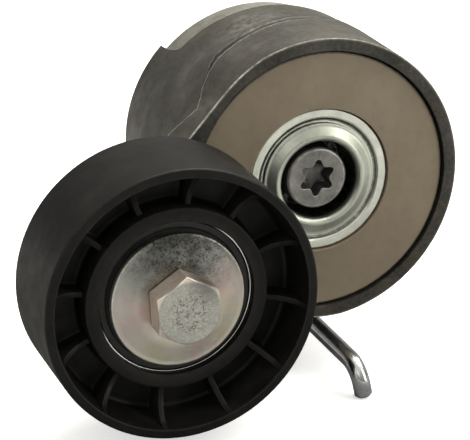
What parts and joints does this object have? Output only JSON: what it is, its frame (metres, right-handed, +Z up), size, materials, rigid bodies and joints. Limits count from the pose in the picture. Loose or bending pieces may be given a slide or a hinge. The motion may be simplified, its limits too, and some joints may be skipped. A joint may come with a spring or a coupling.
{
  "type": "belt tensioner idler",
  "caption": "Spring-loaded belt tensioner: a cast housing and arm carry a ribbed idler pulley on a sealed ball bearing, with a bent locking pin.",
  "frame": {"origin": "on the pivot axis, in the plane of the mounting face", "axes": "+Y along the pivot axis towards the engine block, -Y towards the front of the pulley, +Z up, +X to the right as seen from the front"},
  "size_m": [0.1138, 0.1046, 0.0858],
  "materials": {
    "cast_aluminium": "as cast, blasted, satin",
    "zinc_steel": "zinc plated",
    "zinc_washer": "zinc plated with a faint pink and yellow passivation",
    "dark_bolt": "phosphated, dull",
    "pin_steel": "bright zinc plated rod",
    "spring_steel": "oiled spring steel",
    "bearing_steel": "ground",
    "black_plastic": "glass-filled nylon, satin",
    "beige_plastic": "moulded friction material, matte",
    "pale_plastic": "natural nylon",
    "seal_rubber": "nitrile rubber"
  },
  "bodies": {
    "base": {"base_housing": "cast_aluminium", "locating_peg": "zinc_steel", "pivot_tube": "zinc_steel", "bolt_retainer": "pale_plastic", "mounting_bolt": "dark_bolt", "retaining_dish": "zinc_steel", "friction_disc": "beige_plastic", "thrust_washer": "pale_plastic", "labyrinth_ring": "black_plastic", "torsion_spring": "spring_steel"},
    "arm": {"arm_casting": "cast_aluminium", "pivot_bush": "pale_plastic", "spring_sleeve": "black_plastic", "rear_shield": "zinc_steel", "bearing_inner_ring": "bearing_steel", "dished_washer": "zinc_washer", "pulley_bolt": "zinc_washer"},
    "locking_pin": {"locking_pin": "pin_steel"},
    "pulley": {"pulley_wheel": "black_plastic", "bearing_outer_ring": "bearing_steel", "rear_seal": "seal_rubber", "front_seal": "seal_rubber"},
    "ball_set": {"bearing_cage": "pale_plastic", "ball_1": "bearing_steel", "ball_2": "bearing_steel", "ball_3": "bearing_steel", "ball_4": "bearing_steel", "ball_5": "bearing_steel", "ball_6": "bearing_steel", "ball_7": "bearing_steel", "ball_8": "bearing_steel"}
  },
  "joints": [
    {"name": "arm_pivot", "type": "hinge", "parent": "base", "child": "arm", "pos_m": [0, 0, 0], "axis": [0, 1, 0], "range_deg": [0, 60], "stiffness_Nm_per_rad": 20, "springref_deg": -20.05, "deforming": ["torsion_spring"]},
    {"name": "pulley_spin", "type": "hinge", "parent": "arm", "child": "pulley", "pos_m": [-0.04566, 0, -0.01413], "axis": [0, -1, 0], "continuous": true},
    {"name": "ball_set_spin", "type": "hinge", "parent": "arm", "child": "ball_set", "pos_m": [-0.04566, 0, -0.01413], "axis": [0, -1, 0], "continuous": true},
    {"name": "pin_slide", "type": "slide", "parent": "arm", "child": "locking_pin", "axis": [0, -1, 0], "range_m": [-0.008, 0.013]}
  ],
  "couplings": [
    {"joint": "ball_set_spin", "follows": "pulley_spin", "ratio": 0.618}
  ]
}
